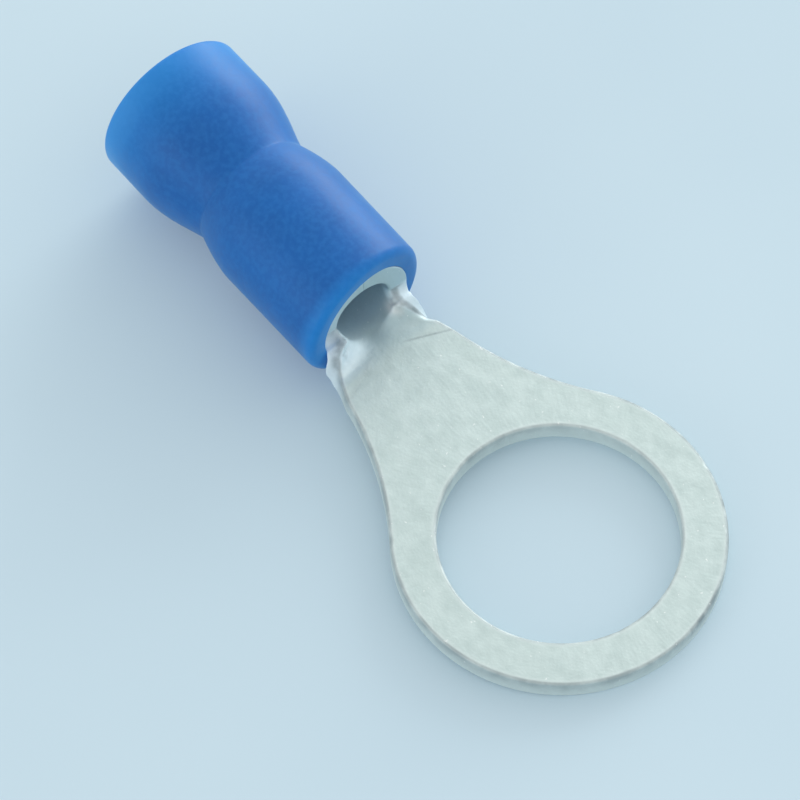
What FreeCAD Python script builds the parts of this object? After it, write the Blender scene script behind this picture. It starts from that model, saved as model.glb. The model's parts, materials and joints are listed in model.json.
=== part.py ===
import FreeCAD, Part
import math
import os

# Ring terminal with an insulating sleeve. All sizes in mm.
# The plate lies level. The origin is the centre of the stud hole on the plate's underside,
# +Z is up through the hole and +X runs along the barrel to the wire entry.

# Sheet metal: one piece of tin-plated copper
SHEET = 0.8                # thickness of the sheet
HOLE_D = 8.4               # stud hole, for an 8 mm stud
RING_D = 11.6              # outside of the ring
FLANK_R = 13.0             # concave flank from the ring to the shoulder
FLANK_X = 8.2              # end of that flank
FLANK_HALF = 2.48          # half width of the tongue there
SHOULDER_X = 8.7           # where the flat tongue ends and its edges begin to curl up
SHOULDER_HALF = 2.36       # half width of the tongue there

# Trough between the tongue and the barrel
CREASE_MID_X = 9.43        # the curl begins later in the middle than at the edges
CREASE_BOW = 1.2           # 1 makes the line where it begins a straight V, more rounds its point
CURL_LAG = 1.4             # 1 curls the sheet evenly along the trough, more leaves it to the end
NECK_X = 10.2              # from here on the trough has the barrel's own curve
NECK_HALF = 2.07           # half width of the blank there, measured along the curve
NECK_FILLET = 0.3          # between the trough's walls and the barrel's front edge

# Rolled barrel
BARREL_BORE = 2.3
BARREL_FRONT_X = 10.62
BARREL_BACK_X = 16.4
BARREL_LEAD_IN = 0.2       # bevel inside the wire end
SEAM_DEPTH = 0.12          # groove where the sheet's rounded edges meet, inside and out
SEAM_HALF = 0.1            # half width of the groove at the surface

# Insulating sleeve, a soft tube seated on the barrel and flared for the wire
SLEEVE_FRONT_X = 10.5
SLEEVE_SKEW_DEG = 6.0      # the front end is cut a little off square
SLEEVE_WALL_FRONT = 0.74   # wall over the barrel's front end
SLEEVE_WALL = 0.78         # wall where the tube starts to narrow
NARROWING_X = 15.1
NARROWING_LAG = 1.6        # as CURL_LAG, for the way down to the waist
WAIST_X = 16.9
WAIST_BORE = 3.3
WAIST_WALL = 0.71
FLARE_X = 19.7             # end of the flare
FLARE_LAG = 1.2            # as CURL_LAG, for the first part of the flare
MOUTH_BORE = 4.8
MOUTH_WALL = 0.58
MOUTH_X = 21.73
MOUTH_RAISE = 0.1          # the wire entry sits a little above the barrel's axis
SLEEVE_EDGE_R = 0.34       # outer edge at the front end
MOUTH_BEVEL = 0.08         # both edges of the wire entry

# Derived sizes
RING_R = RING_D / 2
BORE_R = BARREL_BORE / 2
BARREL_R = BORE_R + SHEET
MID_R = BORE_R + SHEET / 2             # the sheet's middle line in the barrel
AXIS_Z = BARREL_R                      # the barrel's underside is level with the plate's
FRONT_R = BARREL_R + SLEEVE_WALL_FRONT
TUBE_R = BARREL_R + SLEEVE_WALL
WAIST_IN = WAIST_BORE / 2
WAIST_R = WAIST_IN + WAIST_WALL
MOUTH_IN = MOUTH_BORE / 2
MOUTH_R = MOUTH_IN + MOUTH_WALL
PAST = 1.0                             # how far a cutter runs past the solid
JOIN_TOL = 1e-4                        # the trough's end curves follow the barrel's circles this closely
SAME_WAY = 1                           # both rails of a ruled surface run in the same direction
TROUGH_STEPS = 15                      # sections along the trough
SLEEVE_STEPS = 6                       # sections in each curved stretch of the sleeve


def vec(x, y, z):
    return FreeCAD.Vector(x, y, z)


def loft(wires):
    return Part.makeLoft(wires, True, False)


def near(value, target, tol=1e-3):
    return abs(value - target) < tol


def flank_centre():
    """Centre of the concave arc from the ring towards the shoulder (y > 0)."""
    far = RING_R + FLANK_R
    px, py = FLANK_X, FLANK_HALF
    d = math.hypot(px, py)
    along = (far ** 2 - FLANK_R ** 2 + d ** 2) / (2 * d)
    off = math.sqrt(far ** 2 - along ** 2)
    return (px * along - py * off) / d, (py * along + px * off) / d


def plate():
    cx, cy = flank_centre()
    k = RING_R / (RING_R + FLANK_R)
    touch = (cx * k, cy * k)

    def side_edges(side):
        a = math.atan2(touch[1] - cy, touch[0] - cx)
        b = math.atan2(FLANK_HALF - cy, FLANK_X - cx)
        m = (a + b) / 2
        mid = vec(cx + FLANK_R * math.cos(m), side * (cy + FLANK_R * math.sin(m)), 0)
        end = vec(FLANK_X, side * FLANK_HALF, 0)
        return [Part.Arc(vec(touch[0], side * touch[1], 0), mid, end).toShape(),
                Part.makeLine(end, vec(SHOULDER_X, side * SHOULDER_HALF, 0))]

    ring = Part.Arc(vec(touch[0], touch[1], 0), vec(-RING_R, 0, 0),
                    vec(touch[0], -touch[1], 0)).toShape()
    end = Part.makeLine(vec(SHOULDER_X, SHOULDER_HALF, 0), vec(SHOULDER_X, -SHOULDER_HALF, 0))
    outline = Part.Wire(Part.__sortEdges__([ring, end] + side_edges(1) + side_edges(-1)))
    body = Part.Face(outline).extrude(vec(0, 0, SHEET))
    hole = Part.makeCylinder(HOLE_D / 2, SHEET + 2 * PAST, vec(0, 0, -PAST))
    return body.cut(hole)


def smooth(u):
    u = max(0.0, min(1.0, u))
    return u * u * (3 - 2 * u)


def trough_rows(x):
    """Points across the sheet's underside and top at x: the sheet's width curls up as x grows."""
    run = min(1.0, (x - SHOULDER_X) / (0.55 * (NECK_X - SHOULDER_X)))
    half = SHOULDER_HALF + (NECK_HALF - SHOULDER_HALF) * run
    steps, shown = 240, 30
    ds = half / steps
    y = angle = 0.0
    z = SHEET / 2
    line = [(0.0, z, 0.0)]
    for i in range(steps):
        s = (i + 0.5) * ds
        start = CREASE_MID_X - (CREASE_MID_X - SHOULDER_X) * (s / half) ** CREASE_BOW
        bend = smooth((max(0.0, x - start) / (NECK_X - start)) ** CURL_LAG) / MID_R
        a = angle + bend * ds / 2
        y += math.cos(a) * ds
        z += math.sin(a) * ds
        angle += bend * ds
        if (i + 1) % shown == 0:
            line.append((y, z, angle))
    line = [(-y, z, -a) for y, z, a in reversed(line[1:])] + line
    return [[vec(x, y - shift * math.sin(a), z + shift * math.cos(a)) for y, z, a in line]
            for shift in (-SHEET / 2, SHEET / 2)]


def trough():
    """Closed skin: a smooth underside and top, cut edges along the sides and a flat face at each end."""
    rows = [trough_rows(SHOULDER_X + (NECK_X - SHOULDER_X) * i / TROUGH_STEPS)
            for i in range(TROUGH_STEPS + 1)]
    skins, sides, ends = [], [], []
    for k in (0, 1):
        surface = Part.BSplineSurface()
        surface.interpolate([row[k] for row in rows])
        u0, u1, v0, v1 = surface.bounds()
        skins.append(surface.toShape())
        sides.append([surface.vIso(v).toShape() for v in (v0, v1)])
        ends.append([surface.uIso(u).toShape() for u in (u0, u1)])
    cut_edges = [Part.makeRuledSurface(low, high, SAME_WAY) for low, high in zip(*sides)]
    caps = []
    for (under, top), low, high in zip((rows[0], rows[-1]), *ends):
        joins = [Part.makeLine(under[i], top[i]) for i in (0, -1)]
        caps.append(Part.Face(Part.Wire(Part.__sortEdges__([low, high] + joins))))
    skin = Part.Shell(Part.makeCompound(skins + cut_edges + caps).Faces)
    skin.sewShape()
    return Part.makeSolid(skin)


def ring_sector(x0, x1, r0, r1, half_angle):
    """Part of a tube round the barrel's axis, open at the top."""
    face = Part.Wire(Part.makePolygon([vec(x0, 0, AXIS_Z - r0), vec(x1, 0, AXIS_Z - r0),
                                       vec(x1, 0, AXIS_Z - r1), vec(x0, 0, AXIS_Z - r1),
                                       vec(x0, 0, AXIS_Z - r0)]))
    face = Part.Face(face)
    centre, axis = vec(0, 0, AXIS_Z), vec(1, 0, 0)
    turned = face.copy()
    turned.rotate(centre, axis, -half_angle)
    return turned.revolve(centre, axis, 2 * half_angle)


def along_barrel(x, r0, r1, length):
    """Cylinder or cone round the barrel's axis, starting at x."""
    start, axis = vec(x, 0, AXIS_Z), vec(1, 0, 0)
    if near(r0, r1):
        return Part.makeCylinder(r0, length, start, axis)
    return Part.makeCone(r0, r1, length, start, axis)


def seam(r, depth):
    """Cutter for the butt seam's groove in the wall at r, outwards if depth is above zero."""
    start = BARREL_FRONT_X - PAST
    mouth = r - math.copysign(PAST, depth)
    half = SEAM_HALF * (abs(depth) + PAST) / abs(depth)
    corners = [vec(start, 0, AXIS_Z + r + depth), vec(start, half, AXIS_Z + mouth),
               vec(start, -half, AXIS_Z + mouth), vec(start, 0, AXIS_Z + r + depth)]
    face = Part.Face(Part.Wire(Part.makePolygon(corners)))
    return face.extrude(vec(BARREL_BACK_X - BARREL_FRONT_X + 2 * PAST, 0, 0))


def barrel():
    length = BARREL_BACK_X - BARREL_FRONT_X
    tube = along_barrel(BARREL_FRONT_X, BARREL_R, BARREL_R, length)
    bore = along_barrel(BARREL_FRONT_X - PAST, BORE_R, BORE_R, length + 2 * PAST)
    lead = along_barrel(BARREL_BACK_X - BARREL_LEAD_IN, BORE_R, BORE_R + BARREL_LEAD_IN, BARREL_LEAD_IN)
    return tube.cut([bore, lead, seam(BARREL_R, -SEAM_DEPTH), seam(BORE_R, SEAM_DEPTH)])


def round_edges(shape, wanted, radius):
    edges = [e for e in shape.Edges if wanted(e)]
    return shape.makeFillet(radius, edges) if edges else shape


def bevel_edges(shape, wanted, size):
    edges = [e for e in shape.Edges if wanted(e)]
    return shape.makeChamfer(size, edges) if edges else shape


def neck_and_barrel():
    half_angle = NECK_HALF / MID_R
    neck = ring_sector(NECK_X, BARREL_FRONT_X, BORE_R, BARREL_R, math.degrees(half_angle))
    corner_y, corner_z = MID_R * math.sin(half_angle), AXIS_Z - MID_R * math.cos(half_angle)

    def neck_corner(e):
        c = e.CenterOfMass
        return (near(c.x, BARREL_FRONT_X) and near(abs(c.y), corner_y, SHEET / 4)
                and near(c.z, corner_z, SHEET / 4))

    return round_edges(neck.fuse(barrel()).removeSplitter(), neck_corner, NECK_FILLET)


def terminal():
    return plate().fuse([trough(), neck_and_barrel()], JOIN_TOL).removeSplitter()


def sleeve_axis(x):
    """Point of the sleeve's middle line at x; the flare lifts it towards the wire entry."""
    u = max(0.0, min(1.0, (x - WAIST_X) / (FLARE_X - WAIST_X)))
    return vec(x, 0, AXIS_Z + MOUTH_RAISE * u)


def sleeve_loft(x0, r0, x1, r1, share):
    """Smooth solid from radius r0 at x0 to r1 at x1; share gives the part of the change that is done."""
    wires = []
    for i in range(SLEEVE_STEPS + 1):
        u = i / SLEEVE_STEPS
        x = x0 + (x1 - x0) * u
        circle = Part.Circle(sleeve_axis(x), vec(1, 0, 0), r0 + (r1 - r0) * share(u))
        wires.append(Part.Wire(circle.toShape()))
    return loft(wires)


def narrowing(u):
    return u ** NARROWING_LAG


def flare(u):
    return math.sin(math.pi / 2 * u) ** FLARE_LAG


def sleeve_outside():
    start = SLEEVE_FRONT_X - PAST
    tube = along_barrel(start, FRONT_R, TUBE_R, NARROWING_X - start)
    neck = sleeve_loft(NARROWING_X, TUBE_R, WAIST_X, WAIST_R, narrowing)
    funnel = sleeve_loft(WAIST_X, WAIST_R, FLARE_X, MOUTH_R, flare)
    mouth = Part.makeCylinder(MOUTH_R, MOUTH_X - FLARE_X, sleeve_axis(FLARE_X), vec(1, 0, 0))
    side = 4 * FRONT_R
    knife = Part.makeBox(side, side, side, vec(SLEEVE_FRONT_X - side, -side / 2, AXIS_Z - side / 2))
    knife.rotate(vec(SLEEVE_FRONT_X, 0, AXIS_Z), vec(0, 0, 1), SLEEVE_SKEW_DEG)
    return tube.fuse([neck, funnel, mouth]).cut(knife)


def sleeve_inside():
    """Bore of the sleeve: the barrel's seat, the waist and the flare for the wire."""
    start = SLEEVE_FRONT_X - PAST
    seat = along_barrel(start, BARREL_R, BARREL_R, BARREL_BACK_X - start)
    step = along_barrel(BARREL_BACK_X, BARREL_R, WAIST_IN, WAIST_X - BARREL_BACK_X)
    funnel = sleeve_loft(WAIST_X, WAIST_IN, FLARE_X, MOUTH_IN, flare)
    entry = Part.makeCylinder(MOUTH_IN, MOUTH_X + PAST - FLARE_X, sleeve_axis(FLARE_X), vec(1, 0, 0))
    return seat.fuse([step, funnel, entry])


def sleeve():
    body = sleeve_outside().cut(sleeve_inside())

    def front_rim(e):
        b = e.BoundBox
        return b.XMax < (SLEEVE_FRONT_X + NARROWING_X) / 2 and b.ZLength > BARREL_R + FRONT_R

    def mouth_rim(e):
        return near(e.BoundBox.XMin, MOUTH_X) and near(e.BoundBox.XMax, MOUTH_X)

    body = round_edges(body, front_rim, SLEEVE_EDGE_R)
    return bevel_edges(body, mouth_rim, MOUTH_BEVEL)


os.makedirs("parts", exist_ok=True)
for name, shape in (("terminal", terminal()), ("insulation_sleeve", sleeve())):
    if shape.ShapeType == "Compound" and len(shape.Solids) == 1:
        shape = shape.Solids[0]
    shape.exportStep("parts/" + name + ".step")
    b = shape.BoundBox
    print(name, shape.ShapeType, "valid", shape.isValid(), "solids", len(shape.Solids),
          "volume", round(shape.Volume, 3),
          "box", [round(v, 3) for v in (b.XMin, b.YMin, b.ZMin, b.XMax, b.YMax, b.ZMax)])
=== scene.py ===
import bpy
import json
import math
import numpy as np
from mathutils import Matrix, Vector, noise
from mathutils.geometry import delaunay_2d_cdt

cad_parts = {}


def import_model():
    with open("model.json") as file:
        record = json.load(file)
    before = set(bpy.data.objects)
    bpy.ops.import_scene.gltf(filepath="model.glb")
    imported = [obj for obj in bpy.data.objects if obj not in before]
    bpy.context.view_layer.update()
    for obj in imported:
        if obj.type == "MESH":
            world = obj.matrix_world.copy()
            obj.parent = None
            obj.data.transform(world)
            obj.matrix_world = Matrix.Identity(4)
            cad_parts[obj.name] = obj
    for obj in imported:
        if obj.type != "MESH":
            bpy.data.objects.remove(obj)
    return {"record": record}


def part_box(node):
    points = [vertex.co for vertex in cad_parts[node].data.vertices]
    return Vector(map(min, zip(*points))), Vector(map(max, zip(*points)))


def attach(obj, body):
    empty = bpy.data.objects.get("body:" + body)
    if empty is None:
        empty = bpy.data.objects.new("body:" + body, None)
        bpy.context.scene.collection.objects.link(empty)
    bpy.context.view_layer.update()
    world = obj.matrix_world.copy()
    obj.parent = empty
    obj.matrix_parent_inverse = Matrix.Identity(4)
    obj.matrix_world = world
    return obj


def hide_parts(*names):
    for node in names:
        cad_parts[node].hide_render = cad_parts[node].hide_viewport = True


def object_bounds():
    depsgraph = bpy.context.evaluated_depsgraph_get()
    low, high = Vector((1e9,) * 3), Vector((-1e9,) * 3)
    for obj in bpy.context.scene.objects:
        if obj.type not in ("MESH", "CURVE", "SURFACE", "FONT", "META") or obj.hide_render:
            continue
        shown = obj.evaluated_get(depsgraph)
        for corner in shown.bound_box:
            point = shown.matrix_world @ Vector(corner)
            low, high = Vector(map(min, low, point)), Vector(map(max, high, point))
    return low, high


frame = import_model()
CAD_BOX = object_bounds()

# Ring terminal with an insulating sleeve. Sizes are in mm in the frame's axes: the origin is the
# centre of the stud hole on the plate's underside, +Z is up and +X runs along the barrel.
MM = 0.001


def mount(name):
    return next(m for m in frame["record"]["mounts"] if m["name"] == name)


def box_mm(node):
    low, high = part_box(node)
    return np.array(low) / MM, np.array(high) / MM


# Sizes that the frame gives
METAL_LOW, METAL_HIGH = box_mm("terminal")
SLEEVE_LOW, SLEEVE_HIGH = box_mm("insulation_sleeve")
HOLE_R = mount("stud_hole")["dims"]["r_mm"]
SHEET = mount("stud_hole")["dims"]["length_mm"]
BORE_R = mount("wire_barrel")["dims"]["r_mm"]
MOUTH_IN = mount("insulation_entry")["dims"]["r_mm"]
RING_R = -METAL_LOW[0]
BARREL_BACK_X = METAL_HIGH[0]
BARREL_R = BORE_R + SHEET
MID_R = BORE_R + SHEET / 2
AXIS_Z = BARREL_R
MOUTH_X = SLEEVE_HIGH[0]
MOUTH_R = (SLEEVE_HIGH[2] - SLEEVE_LOW[2]) / 2
MOUTH_RAISE = (SLEEVE_HIGH[2] + SLEEVE_LOW[2]) / 2 - AXIS_Z

# The flat blank that the metal part is rolled from: x along the part, t across the sheet
FLANK_R = 13.0
FLANK_X = 8.2
FLANK_HALF = 2.48
SHOULDER_X = 8.7
SHOULDER_HALF = 2.36
NECK_TAPER_END_X = 9.52
NECK_X = 10.3              # rolled like the barrel from here on
NECK_HALF = 2.07
NECK_FILLET = 0.3
BARREL_FRONT_X = 10.62
SEAM_GAP = 0.012
BARREL_HALF = math.pi * MID_R - SEAM_GAP / 2
CREASE_MID_X = 9.43
CREASE_END_X = 8.5
CREASE_BOW = 1.3
CURL_LAG = 1.4
CREASE_TURN = 0.05         # radians that the sheet turns at once along the crease, at its sides
CREASE_FULL_T = 1.5        # how far from the middle it turns by all of that
CREASE_WIDTH = 0.03
CREASE_LATE = 0.045        # how far past the curl's start the sharp turn lies
CURL_STEPS = (189, 601)    # samples of the curl along x and across t
OUTLINE_STEP = 0.07
NECK_STEP = 0.04           # closer together along the neck's edges

# Edges of the blank, as a punch leaves them
EDGE_TOP_R = 0.1           # rolled over
NECK_EDGE_R = (0.42, 0.2)  # pressed rounder where the walls curl, at -Y and at +Y
EDGE_UNDER_R = 0.04
EDGE_BAND = 0.03           # flat band that keeps the rounding's shading off the faces
EDGE_TOP_STEPS = 6
EDGE_UNDER_STEPS = 4
NICKS = ((3.4, 4.7, 0.07), (-1.2, -5.67, 0.06), (-3.6, -4.55, 0.05), (-5.55, 1.7, 0.06), (1.9, 5.48, 0.05),
         (7.3, 2.79, 0.06), (6.1, -3.3, 0.05), (-4.1, 0.9, 0.05), (1.2, -4.02, 0.04))     # x, y, depth
NICK_REACH = 0.13

# The walls beside the trough. A pair is a stretch of x or of t over which something comes in or dies out.
PRESSED_IN_X = (9.1, 9.8)            # the rounder edges
PRESSED_OUT_T = (2.25, 2.55)
CRUMPLE = 0.11                       # height of the crumpling
CRUMPLE_IN_X = (9.5, 10.0)
CRUMPLE_OUT_X = (10.3, 10.6)
CRUMPLE_IN_T = (1.2, 1.9)
CRUMPLE_OUT_T = (NECK_HALF + 0.02, NECK_HALF + 0.27)
CRUMPLE_PER_MM = (5.5, 3.5)
CRUMPLE_DRAW = 1.7
CALM = 0.5                           # share of the crumpling and of the burr at -Y
BURR = 0.06                          # bead that the curling raised along the walls' inner edges
BURR_IN = 0.16
BURR_WIDTH = 0.08
BURR_X = 10.2
BURR_REACH = 0.25
BURR_UNEVEN = 1.5
BULGE = 0.09                         # the wall at +Y bulges out before the barrel
BULGE_X = 10.02
BULGE_REACH = 0.2
DENT = 0.1                           # the wall at -Y is pressed in there
DENT_X = 9.85
DENT_REACH = 0.3
SHIFT_IN_T = (1.1, 2.0)              # the bulge and the dent
SHIFT_OUT_T = (2.1, 2.4)

# Where painted shade, highlights and reflections lie on the tin. Heights are above the sheet's middle.
NEAR_TOP_H = (-0.15, 0.25)
EDGE_ZONE = (0.0, 0.35)              # distance from its edges within which the plate gets a painted reflection and is less metallic
EDGE_SHADE_REACH = (0.05, 0.14)              # distance within which its top edges get painted shade
EDGE_SHADE_SIDE_Y = -1.0                   # beyond it, towards -Y, these strengths of the painted edge shade hold
EDGE_SHADE_OUTER = 1.5
EDGE_SHADE_HOLE = 0.6
# Painted shade along the crease
CREASE_SHADE_IN_T = (0.4, 1.2)
CRISP_SHADE = (0.8, 0.02, 0.045)      # strength, place past the crease and width, at -Y
FAINT_SHADE = (0.25, 0.1, 0.15)       # the same at +Y
# Painted shade along the pressed edge of the wall at -Y
FOLD_SHADE = (0.14, 0.1)              # height and width
FOLD_OUT = (0.1, 0.25)               # distance from the edge
FOLD_IN_X = (9.35, 9.75)
FOLD_OUT_X = (10.6, 10.7)
# Painted highlight spot on the trough's wall at -Y
HIGHLIGHT_SPOT = (10.33, -1.65)
HIGHLIGHT_SPOT_R = 0.33

# Sleeve
SLEEVE_FRONT_X = 10.5
SLEEVE_SKEW = math.radians(6.0)
SKEW_END_X = 13.0          # the skew of the front end dies out here
FRONT_R = BARREL_R + 0.74
TUBE_R = BARREL_R + 0.78
NARROWING_X = 15.1
NARROWING_POWER = 1.6
WAIST_X = 16.9
WAIST_IN = 1.65
WAIST_R = WAIST_IN + 0.71
FLARE_X = 19.7
FLARE_POWER = 1.2
FRONT_EDGE_R = 0.34
FRONT_INNER_R = 0.04
MOUTH_EDGE_R = 0.12
SLEEVE_CLEARANCE = 0.004
SLEEVE_SIDES = 192

# Colours, linear
TIN_DARK = (0.55, 0.66, 0.645)
TIN_LIGHT = (0.605, 0.715, 0.70)
# Painted reflection, lighter and bluish, on the plate's edge zone
TIN_EDGE_REFLECTION = (0.70, 0.79, 0.78)
# Painted shade, for the edges, the crease, the pressed edge and the crumples
TIN_SHADE = (0.22, 0.28, 0.30)
# Painted shade on the trough at -Y, and a painted highlight at +Y that the trough's edges take too
TIN_TROUGH_SHADE = (0.51, 0.65, 0.68)      # at -Y
TIN_TROUGH_HIGHLIGHT = (0.76, 0.90, 0.98)   # at +Y
# Painted shade inside the barrel, bluish as a reflection of the sleeve
TIN_BORE_SHADE = (0.49, 0.65, 0.73)
# Painted highlight, for the highlight spot and the scattered glints
TIN_GLINT = (0.95, 0.98, 0.97)
VINYL_DARK = (0.0, 0.100, 0.385)
VINYL_LIGHT = (0.0, 0.120, 0.445)
# Painted glow, as of light through the thin wall near the mouth, also used as painted light on the front end
VINYL_GLOW = (0.004, 0.220, 0.64)
# Painted light on the mouth's rim at +Y, and the colour of a fine speckle in the vinyl
VINYL_RIM_LIGHT_AND_SPECKLE = (0.05, 0.32, 0.76)
FLOOR_DARK = (0.45, 0.575, 0.645)
FLOOR_LIGHT = (0.475, 0.60, 0.665)
FLOOR_GLOW = 0.22          # translucent table with some light from beneath

# Light and floor, in metres and watts
SURROUND = (0.755, 0.765, 0.775)
SURROUND_BRIGHT = (1.77, 1.77, 1.77)
BRIGHT_SIDE = (0.35, -0.93, 0.0)
LAMP_COLOUR = (1.0, 0.98, 0.96)
LAMP_TARGET = (0.008, 0, 0)
LAMPS = (("key", (0.15, -0.41, 0.07), 0.36, 1.15), ("fill", (0.04, 0.42, 0.10), 0.36, 0.32))
FLOOR_REACH = 6.0


def smooth(u):
    """Smooth step from 0 at 0 to 1 at 1."""
    u = np.clip(u, 0.0, 1.0)
    return u * u * (3 - 2 * u)


def rise(u, start, end):
    """Smooth step from 0 at start to 1 at end."""
    return smooth((u - start) / (end - start))


def bump(u, centre, width):
    return np.exp(-((u - centre) / width) ** 2)


# Outline of the blank

def arc(cx, cy, r, start, end, step):
    """Points on an arc from angle start to end, without the last one."""
    count = max(2, math.ceil(abs(end - start) * r / step))
    angles = [start + (end - start) * i / count for i in range(count)]
    return [(cx + r * math.cos(a), cy + r * math.sin(a)) for a in angles]


def line(p, q, step):
    """Points on a line from p to q, without the last one."""
    count = max(1, math.ceil(math.dist(p, q) / step))
    return [(p[0] + (q[0] - p[0]) * i / count, p[1] + (q[1] - p[1]) * i / count) for i in range(count)]


def flank_centre():
    """Centre of the concave arc that runs from the ring to the tongue."""
    far = RING_R + FLANK_R
    d = math.hypot(FLANK_X, FLANK_HALF)
    along = (far ** 2 - FLANK_R ** 2 + d ** 2) / (2 * d)
    off = math.sqrt(far ** 2 - along ** 2)
    return (FLANK_X * along - FLANK_HALF * off) / d, (FLANK_HALF * along + FLANK_X * off) / d


def blank_outline():
    """Clockwise outline of the blank from the ring's far end: one half as built, the other mirrored."""
    step, fine = OUTLINE_STEP, NECK_STEP
    cx, cy = flank_centre()
    touch = math.atan2(cy, cx)
    end = math.atan2(FLANK_HALF - cy, FLANK_X - cx)
    fillet_x, fillet_t = BARREL_FRONT_X - NECK_FILLET, NECK_HALF + NECK_FILLET
    half = arc(0, 0, RING_R, math.pi, touch, step)
    half += arc(cx, cy, FLANK_R, touch - math.pi, end, step)
    half += line((FLANK_X, FLANK_HALF), (SHOULDER_X, SHOULDER_HALF), step)
    half += line((SHOULDER_X, SHOULDER_HALF), (NECK_TAPER_END_X, NECK_HALF), fine)
    half += line((NECK_TAPER_END_X, NECK_HALF), (fillet_x, NECK_HALF), fine)
    half += arc(fillet_x, fillet_t, NECK_FILLET, -math.pi / 2, 0, fine)
    half += line((BARREL_FRONT_X, fillet_t), (BARREL_FRONT_X, BARREL_HALF), step)
    half += line((BARREL_FRONT_X, BARREL_HALF), (BARREL_BACK_X, BARREL_HALF), 2 * step)
    half += line((BARREL_BACK_X, BARREL_HALF), (BARREL_BACK_X, 0), step)
    other = [(x, -t) for x, t in reversed(half[1:])]
    return np.array(half + [(BARREL_BACK_X, 0.0)] + other)


def hole_outline():
    return np.array(arc(0, 0, HOLE_R, 0, 2 * math.pi, OUTLINE_STEP))


def outward(loop):
    """Mitred normals that point away from the metal, for a clockwise outline or a counterclockwise hole."""
    step = np.roll(loop, -1, axis=0) - loop
    step /= np.linalg.norm(step, axis=1)[:, None]
    after = np.stack([-step[:, 1], step[:, 0]], axis=1)
    before = np.roll(after, 1, axis=0)
    return (after + before) / (1 + (after * before).sum(1))[:, None]


def within(points, loop):
    """Which points lie inside a closed loop, by the edges that a line towards +x crosses."""
    x, t = points[:, 0, None], points[:, 1, None]
    x0, t0 = loop.T
    x1, t1 = np.roll(loop, -1, axis=0).T
    crosses = (t0 > t) != (t1 > t)
    across = np.where(t1 == t0, 1.0, t1 - t0)
    return (crosses & (x < x0 + (t - t0) / across * (x1 - x0))).sum(axis=1) % 2 == 1


def in_metal(points, loops):
    return within(points, loops[0]) & ~within(points, loops[1])


def inner_points(loops):
    """Staggered points inside the blank: close together where the sheet bends, and clear of its edges."""
    # From x, to x, gap
    zones = [(-RING_R, 7.6, 0.22), (7.6, 8.0, 0.12), (8.0, 10.0, 0.05), (10.0, BARREL_FRONT_X, 0.07),
             (BARREL_FRONT_X, BARREL_BACK_X, 0.13)]
    edge = np.concatenate(loops)
    kept = []
    for x0, x1, gap in zones:
        for i, x in enumerate(np.arange(x0 + gap / 2, x1, gap * math.sqrt(3) / 2)):
            t = np.arange(-RING_R, RING_R, gap) + (i % 2) * gap / 2
            p = np.stack([np.full(len(t), x), t], axis=1)
            near = edge[np.abs(edge[:, 0] - x) < gap]
            if len(near):
                p = p[np.linalg.norm(p[:, None] - near[None], axis=2).min(axis=1) > 0.6 * gap]
            kept.append(p)
    kept = np.concatenate(kept)
    return kept[in_metal(kept, loops)]


# From the flat blank to the rolled part

def neck_half(x):
    """Half the blank's width beside the trough."""
    return np.interp(x, [FLANK_X, SHOULDER_X, NECK_TAPER_END_X], [FLANK_HALF, SHOULDER_HALF, NECK_HALF])


def crease_x(x, t):
    """Where the curl begins at a distance t from the middle."""
    share = np.minimum(np.abs(t) / neck_half(x), 1)
    return CREASE_MID_X - (CREASE_MID_X - CREASE_END_X) * share ** CREASE_BOW


def curl_table():
    """Middle line of the sheet along the trough: y, z and slope for each x and distance from the middle."""
    xs = np.linspace(CREASE_END_X, NECK_X, CURL_STEPS[0])
    ts = np.linspace(0, math.pi * MID_R, CURL_STEPS[1])
    half = neck_half(xs)[:, None]
    start = crease_x(xs[:, None], ts[None])
    past = xs[:, None] - start
    bend = smooth((np.maximum(past, 0) / (NECK_X - start)) ** CURL_LAG) / MID_R
    gap = ts[1] - ts[0]
    slant = np.abs(np.gradient(start, gap, axis=1))
    crease = bump(past, CREASE_LATE, CREASE_WIDTH) * slant / (math.sqrt(math.pi) * CREASE_WIDTH)
    bend += CREASE_TURN * rise(ts[None], 0, CREASE_FULL_T) * crease * (ts[None] < half)

    def running(rate):
        mean = (rate[:, 1:] + rate[:, :-1]) / 2
        return np.concatenate([np.zeros((len(xs), 1)), np.cumsum(mean, axis=1) * gap], axis=1)

    slope = running(bend)
    return xs, ts, np.stack([running(np.cos(slope)), SHEET / 2 + running(np.sin(slope)), slope])


CURL_X, CURL_T, CURL = curl_table()


def wall_zone(x, t):
    """How far a blank point belongs to the walls beside the trough, 0 to 1."""
    along = rise(x, *CRUMPLE_IN_X) * (1 - rise(x, *CRUMPLE_OUT_X))
    return along * rise(np.abs(t), *CRUMPLE_IN_T) * (1 - rise(np.abs(t), *CRUMPLE_OUT_T))


def uneven(x, t, h):
    """Height above the sheet's middle with the walls' crumpling and the bead along their inner edges."""
    zone = wall_zone(x, t)
    ripple = np.zeros(len(x))
    for i in np.nonzero(zone > 0.01)[0]:
        ripple[i] = noise.noise(Vector((x[i] * CRUMPLE_PER_MM[0], t[i] * CRUMPLE_PER_MM[1], CRUMPLE_DRAW)))
    side = np.where(t > 0, 1.0, CALM)
    ridge = bump(NECK_HALF - np.abs(t), BURR_IN, BURR_WIDTH) * bump(x, BURR_X, BURR_REACH)
    ridge = ridge * (1 + BURR_UNEVEN * ripple)
    return h + zone * side * CRUMPLE * ripple + np.where(h > SHEET / 4, BURR * side * ridge, 0)


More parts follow.
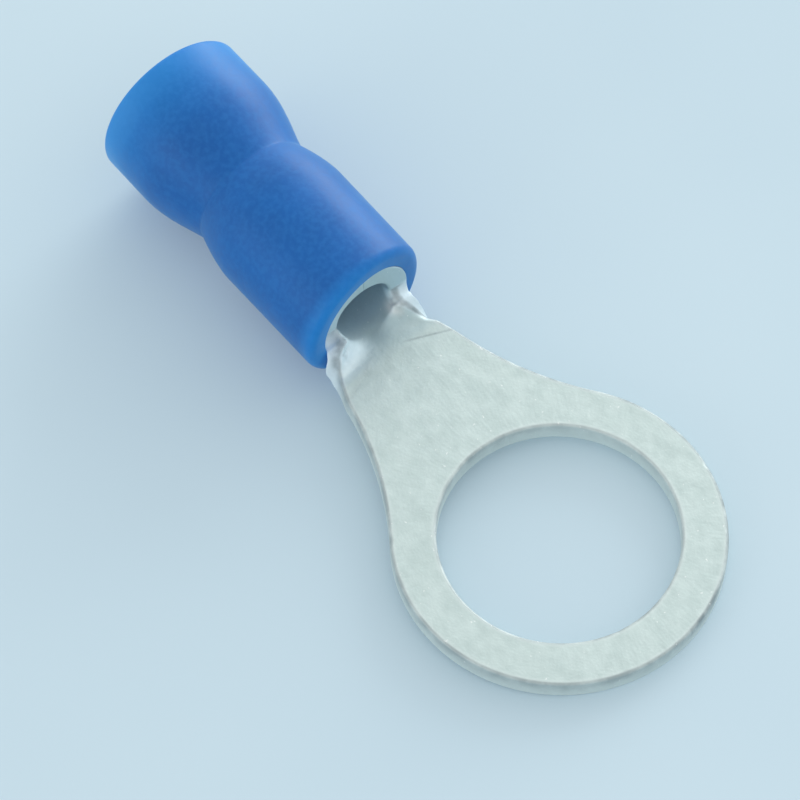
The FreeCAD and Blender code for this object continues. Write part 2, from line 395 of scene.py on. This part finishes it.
def roll(x, t, h):
    """Place in space of blank points (x, t) that lie h above the sheet's middle."""
    h = uneven(x, t, h)
    i = np.clip((x - CURL_X[0]) / (CURL_X[1] - CURL_X[0]), 0, len(CURL_X) - 1.001)
    j = np.clip(np.abs(t) / (CURL_T[1] - CURL_T[0]), 0, len(CURL_T) - 1.001)
    i0, j0 = i.astype(int), j.astype(int)
    u, v = i - i0, j - j0
    y, z, slope = (CURL[:, i0, j0] * (1 - u) * (1 - v) + CURL[:, i0 + 1, j0] * u * (1 - v)
                   + CURL[:, i0, j0 + 1] * (1 - u) * v + CURL[:, i0 + 1, j0 + 1] * u * v)
    flat = x < CREASE_END_X
    y = np.where(flat, np.abs(t), y)
    z = np.where(flat, SHEET / 2, z)
    slope = np.where(flat, 0, slope)
    side = np.where(t < 0, -1.0, 1.0)
    wall = rise(np.abs(t), *SHIFT_IN_T) * (1 - rise(np.abs(t), *SHIFT_OUT_T))
    shift = wall * np.where(t > 0, BULGE * bump(x, BULGE_X, BULGE_REACH), DENT * bump(x, DENT_X, DENT_REACH))
    return np.stack([x, side * (y - h * np.sin(slope)) + shift, z + h * np.cos(slope)], axis=1)


# Meshes

def make_object(name, points, faces, node):
    """An object in place of a CAD node, from points in mm that are kept within the CAD's box."""
    mesh = bpy.data.meshes.new(name)
    mesh.from_pydata(np.clip(np.asarray(points) * MM, *np.array(CAD_BOX)).tolist(), [], faces)
    mesh.validate()
    mesh.shade_smooth()
    obj = bpy.data.objects.new(name, mesh)
    bpy.context.scene.collection.objects.link(obj)
    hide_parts(node)
    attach(obj, "root")
    return obj


def edge_radius(loop):
    """Rounding of the top edge at each point of an outline: wider on the curled walls, with some nicks."""
    x, t = loop.T
    wall = rise(x, *PRESSED_IN_X) * (1 - rise(np.abs(t), *PRESSED_OUT_T))
    r = EDGE_TOP_R + (np.where(t < 0, *NECK_EDGE_R) - EDGE_TOP_R) * wall
    for nick_x, nick_y, depth in NICKS:
        r = r + depth * bump(np.hypot(x - nick_x, t - nick_y), 0, NICK_REACH)
    return r


def edge_rows(radius):
    """(offsets inwards, heights) from the top's inner line round the edge to the underside's."""
    top, under, zero = SHEET / 2, -SHEET / 2, 0 * radius
    rows = [(radius, top + zero)]
    for k in range(1, EDGE_TOP_STEPS + 1):
        a = math.pi / 2 * k / EDGE_TOP_STEPS
        rows.append((radius * (1 - math.sin(a)), top - radius * (1 - math.cos(a))))
    rows.append((zero, top - radius - EDGE_BAND))
    rows.append((zero, under + EDGE_UNDER_R + EDGE_BAND + zero))
    for k in range(EDGE_UNDER_STEPS + 1):
        a = math.pi / 2 * k / EDGE_UNDER_STEPS
        inwards = EDGE_UNDER_R * (1 - math.cos(a))
        upwards = EDGE_UNDER_R * (1 - math.sin(a))
        rows.append((inwards + zero, under + upwards + zero))
    return rows


def crease_shade(x, t):
    """Painted shade along the crease: crisp at -Y, faint and wide at +Y."""
    past = x - crease_x(x, t)
    crisp, faint = (strength * bump(past, *shape) for strength, *shape in (CRISP_SHADE, FAINT_SHADE))
    return rise(np.abs(t), *CREASE_SHADE_IN_T) * np.where(t < 0, crisp, faint)


def fold_shade(x, t, h, away):
    """Painted shade along the pressed edge of the wall at -Y, between its inside and its bright outside."""
    across = bump(h, *FOLD_SHADE) * (1 - rise(away, *FOLD_OUT))
    return across * rise(x, *FOLD_IN_X) * (1 - rise(x, *FOLD_OUT_X)) * (t < 0)


def blank_mesh(outlines):
    """Points (x, t, h) and faces of the flat blank: its top, its underside and its rounded edges."""
    normals = [outward(loop) for loop in outlines]
    radii = [edge_radius(loop) for loop in outlines]
    loops = [loop - n * (r + EDGE_BAND)[:, None] for loop, n, r in zip(outlines, normals, radii)]
    flat = np.concatenate(loops + [inner_points(loops)])
    first = [0, len(loops[0])]
    rims = [[first[k] + i for i in range(len(loops[k]))] for k in (0, 1)]
    borders = [(rim[i], rim[(i + 1) % len(rim)]) for rim in rims for i in range(len(rim))]
    faces = np.array(delaunay_2d_cdt([Vector(p) for p in flat], borders, [], 0, 1e-7)[2])
    faces = faces[in_metal(flat[faces].mean(axis=1), loops)].tolist()
    count = len(flat)
    points = [np.column_stack([flat, np.full(count, h)]) for h in (SHEET / 2, -SHEET / 2)]
    polygons = [tuple(f) for f in faces]
    polygons += [tuple(i + count for i in reversed(f)) for f in faces]
    total = 2 * count
    for loop, normal, radius, rim in zip(outlines, normals, radii, rims):
        n = len(loop)
        rows = [rim]
        for offset, height in edge_rows(radius):
            points.append(np.column_stack([loop - normal * offset[:, None], height]))
            rows.append(list(range(total, total + n)))
            total += n
        rows.append([i + count for i in rim])
        for row, following in zip(rows, rows[1:]):
            for i in range(n):
                j = (i + 1) % n
                polygons.append((row[i], row[j], following[j], following[i]))
    return np.concatenate(points), polygons


def tin_looks(blank, outlines):
    """Strengths, by name, of the edge zone and of the painted shade and highlights that the tin's material
    shows at each point of the blank.
    """
    x, t, h = blank.T
    edge = np.concatenate(outlines)
    edge = edge[edge[:, 0] < BARREL_FRONT_X]
    parts = np.array_split(blank[:, None, :2], 40)     # to hold less in memory at a time
    away = np.concatenate([np.linalg.norm(part - edge[None], axis=2).min(axis=1) for part in parts])
    near_top = rise(h, *NEAR_TOP_H)
    outside = np.hypot(x, t) > (HOLE_R + RING_R) / 2
    edge_shading = np.where(t < EDGE_SHADE_SIDE_Y, np.where(outside, EDGE_SHADE_OUTER, EDGE_SHADE_HOLE), 1.0)
    return {
        "edge_zone": 1 - rise(away, *EDGE_ZONE),
        "edge_shade": (1 - rise(away, *EDGE_SHADE_REACH)) * near_top * edge_shading,
        "crease_shade": crease_shade(x, t) * near_top,
        "fold_shade": fold_shade(x, t, h, away),
        "highlight_spot": bump(np.hypot(x - HIGHLIGHT_SPOT[0], t - HIGHLIGHT_SPOT[1]), 0, HIGHLIGHT_SPOT_R) * near_top,
        "crumple_shade": wall_zone(x, t) * rise(h, 0, SHEET / 4),
    }


def terminal():
    outlines = [blank_outline(), hole_outline()]
    blank, polygons = blank_mesh(outlines)
    obj = make_object("terminal_body", roll(*blank.T), polygons, "terminal")
    for name, value in tin_looks(blank, outlines).items():
        layer = obj.data.attributes.new(name, "FLOAT", "POINT")
        layer.data.foreach_set("value", value.astype(np.float32))
    return obj


def past_waist(x):
    """Share of the way from the waist to the end of the flare."""
    return np.clip((x - WAIST_X) / (FLARE_X - WAIST_X), 0, 1)


def flare(x):
    return np.sin(math.pi / 2 * past_waist(x)) ** FLARE_POWER


def outer_radius(x):
    """Outside of the sleeve at x, without the rounding of its ends."""
    narrowing = np.clip((x - NARROWING_X) / (WAIST_X - NARROWING_X), 0, 1) ** NARROWING_POWER
    tube = FRONT_R + (TUBE_R - FRONT_R) * np.clip((x - SLEEVE_FRONT_X) / (NARROWING_X - SLEEVE_FRONT_X), 0, 1)
    return tube + (WAIST_R - TUBE_R) * narrowing + (MOUTH_R - WAIST_R) * flare(x)


def inner_radius(x):
    step = np.clip((x - BARREL_BACK_X) / (WAIST_X - BARREL_BACK_X), 0, 1)
    return BARREL_R + SLEEVE_CLEARANCE + (WAIST_IN - BARREL_R) * step + (MOUTH_IN - WAIST_IN) * flare(x)


def quarter(x, r, size, start, steps):
    """Rows of a rounded edge: a quarter turn round (x, r) from the angle start."""
    angles = [start - math.pi / 2 * k / steps for k in range(steps + 1)]
    return [(x + size * math.cos(a), r + size * math.sin(a)) for a in angles]


def stations(plan):
    """Values of x between a plan's first and last place; between two places it names the samples."""
    stretches = zip(plan[0::2], plan[2::2], plan[1::2])
    return np.concatenate([np.linspace(start, end, count)[1:] for start, end, count in stretches])[:-1]


def sleeve_profile():
    """(x, radius) rows round the sleeve's wall: the front edge, the outside, the mouth and the bore."""
    front = SLEEVE_FRONT_X + FRONT_EDGE_R
    mouth = MOUTH_X - MOUTH_EDGE_R
    bore_front = SLEEVE_FRONT_X + FRONT_INNER_R
    rows = quarter(front, outer_radius(front) - FRONT_EDGE_R, FRONT_EDGE_R, math.pi, 10)
    outside = stations((front, 40, NARROWING_X, 30, WAIST_X, 44, FLARE_X, 20, mouth))
    rows += [(x, outer_radius(x)) for x in outside]
    rows += quarter(mouth, MOUTH_R - MOUTH_EDGE_R, MOUTH_EDGE_R, math.pi / 2, 6)
    rows += quarter(mouth, MOUTH_IN + MOUTH_EDGE_R, MOUTH_EDGE_R, 0, 6)
    inside = stations((mouth, 12, FLARE_X, 30, WAIST_X, 6, BARREL_BACK_X, 20, bore_front))
    rows += [(x, inner_radius(x)) for x in inside]
    bore = inner_radius(bore_front)
    rows += quarter(bore_front, bore + FRONT_INNER_R, FRONT_INNER_R, -math.pi / 2, 4)
    return np.array(rows, float)


def mouth_lift(x):
    return MOUTH_RAISE * past_waist(x)


def sleeve_bottom():
    """(x, z) along the underside of the sleeve."""
    x, r = sleeve_profile().T
    return np.column_stack([x, AXIS_Z + mouth_lift(x) - r])


def sleeve():
    rows = sleeve_profile()
    around = SLEEVE_SIDES
    angle = np.linspace(0, 2 * math.pi, around, endpoint=False)
    x = np.repeat(rows[:, 0], around)
    r = np.repeat(rows[:, 1], around)
    a = np.tile(angle, len(rows))
    y, z = r * np.cos(a), r * np.sin(a)
    skew = np.clip((SKEW_END_X - x) / (SKEW_END_X - SLEEVE_FRONT_X), 0, 1)
    points = np.stack([x - math.tan(SLEEVE_SKEW) * y * skew, y, AXIS_Z + mouth_lift(x) + z], axis=1)
    faces = []
    for i in range(len(rows)):
        j = (i + 1) % len(rows)
        for k in range(around):
            m = (k + 1) % around
            faces.append((i * around + k, i * around + m, j * around + m, j * around + k))
    return make_object("sleeve_body", points, faces, "insulation_sleeve")


# Materials

def new_material(name):
    """A material with the object's coordinates in mm ready as a vector."""
    mat = bpy.data.materials.new(name)
    mat.use_nodes = True
    nodes, links = mat.node_tree.nodes, mat.node_tree.links
    place = nodes.new("ShaderNodeTexCoord")
    in_mm = nodes.new("ShaderNodeVectorMath")
    in_mm.operation = "SCALE"
    in_mm.inputs["Scale"].default_value = 1 / MM
    links.new(place.outputs["Object"], in_mm.inputs[0])
    return mat, nodes, links, nodes["Principled BSDF"], in_mm.outputs["Vector"]


def cloud(nodes, links, vector, per_mm, detail=2.0):
    """Noise between 0 and 1 with about per_mm patches to the mm."""
    tex = nodes.new("ShaderNodeTexNoise")
    tex.inputs["Scale"].default_value = per_mm
    tex.inputs["Detail"].default_value = detail
    links.new(vector, tex.inputs["Vector"])
    return tex.outputs["Fac"]


def spread(nodes, links, value, low, high, to_low=0.0, to_high=1.0):
    """The part of value between low and high, spread over to_low to to_high."""
    node = nodes.new("ShaderNodeMapRange")
    for name, number in zip(("From Min", "From Max", "To Min", "To Max"), (low, high, to_low, to_high)):
        node.inputs[name].default_value = number
    links.new(value, node.inputs["Value"])
    return node.outputs["Result"]


def blend(nodes, links, share, first, second):
    """Colour between first and second; each is a colour or an output."""
    node = nodes.new("ShaderNodeMix")
    node.data_type = "RGBA"
    links.new(share, node.inputs[0])
    for socket, colour in ((node.inputs[6], first), (node.inputs[7], second)):
        if isinstance(colour, tuple):
            socket.default_value = (*colour, 1)
        else:
            links.new(colour, socket)
    return node.outputs[2]


def point_value(nodes, name):
    """The value that the mesh's points carry by this name."""
    node = nodes.new("ShaderNodeAttribute")
    node.attribute_name = name
    return node.outputs["Fac"]


def product(nodes, links, first, second):
    node = nodes.new("ShaderNodeMath")
    node.operation = "MULTIPLY"
    links.new(first, node.inputs[0])
    links.new(second, node.inputs[1])
    return node.outputs[0]


def relief(nodes, links, height, depth_mm, shader, after=None):
    node = nodes.new("ShaderNodeBump")
    node.inputs["Distance"].default_value = depth_mm * MM
    links.new(height, node.inputs["Height"])
    if after:
        links.new(after, node.inputs["Normal"])
    links.new(node.outputs["Normal"], shader.inputs["Normal"])
    return node.outputs["Normal"]


def tin_plate():
    """Matt tin: cloudy patches and a fine grain, with painted light: scattered glints, a highlight spot, a
    bluish reflection on the edge zone, shade along edges and creases, and shade and highlight in the trough
    and the barrel.
    """
    mat, nodes, links, shader, place = new_material("tin_plate")
    patches = spread(nodes, links, cloud(nodes, links, place, 1.7, 3), 0.35, 0.65)
    colour = blend(nodes, links, patches, TIN_DARK, TIN_LIGHT)
    axes = nodes.new("ShaderNodeSeparateXYZ")
    links.new(place, axes.inputs["Vector"])
    # Painted shade on the trough's wall at -Y and a painted highlight on its wall at +Y
    trough = spread(nodes, links, axes.outputs["X"], CREASE_MID_X - 0.4, NECK_X - 0.4, 0.0, 0.9)
    side = spread(nodes, links, axes.outputs["Y"], 0, 1.4)
    colour = blend(nodes, links, trough, colour, blend(nodes, links, side, TIN_TROUGH_SHADE, TIN_TROUGH_HIGHLIGHT))
    # Painted shade, bluish as a reflection of the sleeve, inside the barrel
    rolled = spread(nodes, links, axes.outputs["X"], NECK_X + 0.05, BARREL_FRONT_X + 0.25, 0.0, 0.95)
    colour = blend(nodes, links, rolled, colour, TIN_BORE_SHADE)
    # Painted reflection on the edge zone, with a painted highlight there in the trough; the zone is also less
    # metallic
    zone = point_value(nodes, "edge_zone")
    edge = blend(nodes, links, trough, TIN_EDGE_REFLECTION, TIN_TROUGH_HIGHLIGHT)
    colour = blend(nodes, links, spread(nodes, links, zone, 0.4, 1.0, 0.0, 0.7), colour, edge)
    links.new(spread(nodes, links, zone, 0.5, 1.0, 0.8, 0.4), shader.inputs["Metallic"])
    rough = cloud(nodes, links, place, 1.2, 3)
    ragged = spread(nodes, links, rough, 0.35, 0.6, 0.22, 0.6)
    # Patchy painted shade in the crumples of the walls
    patchy = spread(nodes, links, cloud(nodes, links, place, 2.3, 3), 0.48, 0.64, 0.0, 0.5)
    dark = spread(nodes, links, rough, 0.3, 0.6, 0.4, 0.8)
    # Painted shade along the edges, in the crease, along the pressed edge and in the crumples
    marks = (("edge_shade", ragged), ("crease_shade", dark), ("fold_shade", dark), ("crumple_shade", patchy))
    for name, broken in marks:
        share = product(nodes, links, point_value(nodes, name), broken)
        colour = blend(nodes, links, share, colour, TIN_SHADE)
    # Painted highlight spot
    spot = spread(nodes, links, point_value(nodes, "highlight_spot"), 0, 1, 0.0, 0.95)
    colour = blend(nodes, links, spot, colour, TIN_GLINT)
    # Scattered painted glints
    glints = spread(nodes, links, cloud(nodes, links, place, 7.0, 1), 0.73, 0.8, 0.0, 0.5)
    colour = blend(nodes, links, glints, colour, TIN_GLINT)
    links.new(colour, shader.inputs["Base Color"])
    grain = cloud(nodes, links, place, 9.0, 3)
    links.new(spread(nodes, links, grain, 0.3, 0.7, 0.54, 0.64), shader.inputs["Roughness"])
    waves = relief(nodes, links, cloud(nodes, links, place, 2.2, 2), 0.02, shader)
    relief(nodes, links, grain, 0.006, shader, waves)
    return mat


def blue_vinyl():
    """Satin vinyl with painted light: a lighter, greener glow towards the mouth as of light through the thin
    wall, on the mouth's lit rim and on the front end.
    """
    mat, nodes, links, shader, place = new_material("blue_vinyl")
    shader.inputs["Specular IOR Level"].default_value = 0.4
    shader.inputs["Specular Tint"].default_value = (0.8, 0.96, 1, 1)
    shader.inputs["Sheen Weight"].default_value = 0.17
    shader.inputs["Sheen Tint"].default_value = (0.6, 1, 0.95, 1)
    shader.inputs["Sheen Roughness"].default_value = 0.4
    shader.inputs["Subsurface Weight"].default_value = 0.12
    shader.inputs["Subsurface Radius"].default_value = (0.2, 0.6, 1.0)
    shader.inputs["Subsurface Scale"].default_value = 0.6 * MM
    axes = nodes.new("ShaderNodeSeparateXYZ")
    links.new(place, axes.inputs["Vector"])
    streaks = spread(nodes, links, cloud(nodes, links, place, 0.5, 3), 0.3, 0.7)
    colour = blend(nodes, links, streaks, VINYL_DARK, VINYL_LIGHT)
    # Painted glow towards the mouth, as of light coming through the thin wall
    mouth = spread(nodes, links, axes.outputs["X"], MOUTH_X - 2.8, MOUTH_X - 0.3, 0.0, 0.72)
    colour = blend(nodes, links, mouth, colour, VINYL_GLOW)
    # Painted light on the mouth's rim, on its lit side
    near_rim = spread(nodes, links, axes.outputs["X"], MOUTH_X - 1.3, MOUTH_X, 0.0, 0.9)
    lit_side = spread(nodes, links, axes.outputs["Y"], -1.0, 4.0)
    colour = blend(nodes, links, product(nodes, links, near_rim, lit_side), colour, VINYL_RIM_LIGHT_AND_SPECKLE)
    # Painted light on the front end
    front = spread(nodes, links, axes.outputs["X"], SLEEVE_FRONT_X + 0.5, SLEEVE_FRONT_X - 0.1, 0.0, 0.75)
    colour = blend(nodes, links, front, colour, VINYL_GLOW)
    grain = cloud(nodes, links, place, 5.0, 3)
    colour = blend(nodes, links, spread(nodes, links, grain, 0.4, 0.65, 0.0, 0.12), colour, VINYL_RIM_LIGHT_AND_SPECKLE)
    links.new(colour, shader.inputs["Base Color"])
    links.new(spread(nodes, links, grain, 0.3, 0.7, 0.42, 0.52), shader.inputs["Roughness"])
    waves = relief(nodes, links, cloud(nodes, links, place, 0.7, 1), 0.05, shader)
    relief(nodes, links, grain, 0.004, shader, waves)
    return mat


def floor_material():
    mat, nodes, links, shader, place = new_material("pale_floor")
    tone = spread(nodes, links, cloud(nodes, links, place, 0.05, 2), 0.3, 0.7)
    colour = blend(nodes, links, tone, FLOOR_DARK, FLOOR_LIGHT)
    links.new(colour, shader.inputs["Base Color"])
    links.new(colour, shader.inputs["Emission Color"])
    shader.inputs["Emission Strength"].default_value = FLOOR_GLOW
    shader.inputs["Roughness"].default_value = 0.9
    shader.inputs["Specular IOR Level"].default_value = 0.2
    return mat


# Floor, light and camera

def floor():
    """Plane on which the ring's far edge and the lowest reach of the sleeve rest."""
    x, z = sleeve_bottom().T
    touch = np.argmin(z / (x + RING_R))
    edge = Vector((-RING_R, 0, 0)) * MM
    along = (Vector((x[touch], 0, z[touch])) * MM - edge).normalized()
    mesh = bpy.data.meshes.new("floor")
    side = Vector((0, 1, 0))
    corners = [edge + (along * a + side * b) * FLOOR_REACH for a, b in ((-1, -1), (1, -1), (1, 1), (-1, 1))]
    mesh.from_pydata(corners, [], [(0, 1, 2, 3)])
    obj = bpy.data.objects.new("floor", mesh)
    bpy.context.scene.collection.objects.link(obj)
    obj.data.materials.append(floor_material())


def soft_light(name, place, size, power):
    data = bpy.data.lights.new(name, "AREA")
    data.color = LAMP_COLOUR
    data.shape = "DISK"
    data.size = size
    data.energy = power
    obj = bpy.data.objects.new(name, data)
    bpy.context.scene.collection.objects.link(obj)
    obj.location = place
    obj.rotation_euler = (Vector(LAMP_TARGET) - Vector(place)).to_track_quat("-Z", "Y").to_euler()


def world():
    """Soft surround, brighter towards the key light's side."""
    scene = bpy.context.scene
    scene.world = bpy.data.worlds.new("studio")
    scene.world.use_nodes = True
    nodes, links = scene.world.node_tree.nodes, scene.world.node_tree.links
    place = nodes.new("ShaderNodeTexCoord")
    along = nodes.new("ShaderNodeVectorMath")
    along.operation = "DOT_PRODUCT"
    along.inputs[1].default_value = Vector(BRIGHT_SIDE).normalized()
    links.new(place.outputs["Generated"], along.inputs[0])
    share = nodes.new("ShaderNodeMath")
    share.operation = "POWER"
    share.inputs[1].default_value = 2
    links.new(spread(nodes, links, along.outputs["Value"], 0, 1), share.inputs[0])
    colour = blend(nodes, links, share.outputs[0], SURROUND, SURROUND_BRIGHT)
    links.new(colour, nodes["Background"].inputs["Color"])


def camera():
    """The photograph's view: 60 degrees down, from beyond the ring, through a long lens."""
    place = Vector((-46.91, 44.78, 121.32)) * MM
    right = Vector((-0.6321, -0.7749, -0.0013))
    down = Vector((-0.6701, 0.5475, -0.5012))
    forward = Vector((0.389, -0.3159, -0.8654))
    data = bpy.data.cameras.new("camera")
    data.lens = 180
    data.sensor_width = 36
    data.clip_start = 0.01
    data.clip_end = 10
    data.shift_x = -0.0088
    data.shift_y = 0.0027
    obj = bpy.data.objects.new("camera", data)
    bpy.context.scene.collection.objects.link(obj)
    turn = Matrix((right, -down, -forward)).transposed()
    obj.matrix_world = Matrix.Translation(place) @ turn.to_4x4()
    bpy.context.scene.camera = obj


body = terminal()
body.data.materials.append(tin_plate())
tube = sleeve()
tube.data.materials.append(blue_vinyl())
floor()
for lamp in LAMPS:
    soft_light(*lamp)
world()
camera()
bpy.context.scene.view_settings.view_transform = "Standard"
